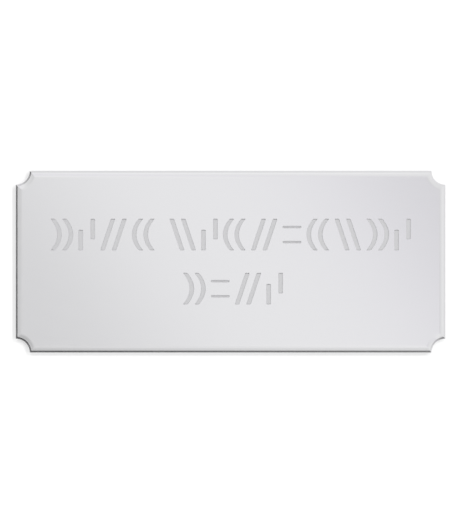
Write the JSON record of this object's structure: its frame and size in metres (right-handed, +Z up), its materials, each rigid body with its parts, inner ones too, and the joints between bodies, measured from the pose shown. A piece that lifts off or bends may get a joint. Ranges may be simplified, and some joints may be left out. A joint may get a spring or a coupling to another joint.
{
  "type": "trophy plate",
  "caption": "Flat silver plate with scooped corners, a bevelled edge and two engraved rows of plain strokes, fixed by its flat back to a trophy's base.",
  "frame": {"origin": "centre of the plate's flat back, where it meets what it is fixed to", "axes": "+X to the right along the plate as read from the front, +Z up the plate, +Y out of the flat back into what it is fixed to; the engraved face looks along -Y"},
  "size_m": [0.076, 0.0015, 0.0322],
  "materials": {
    "satin_silver": "satin silver face with a finer-polished bevelled edge and matt engraved grooves"
  },
  "bodies": {
    "root": {"trophy_plate": "satin_silver"}
  },
  "joints": []
}
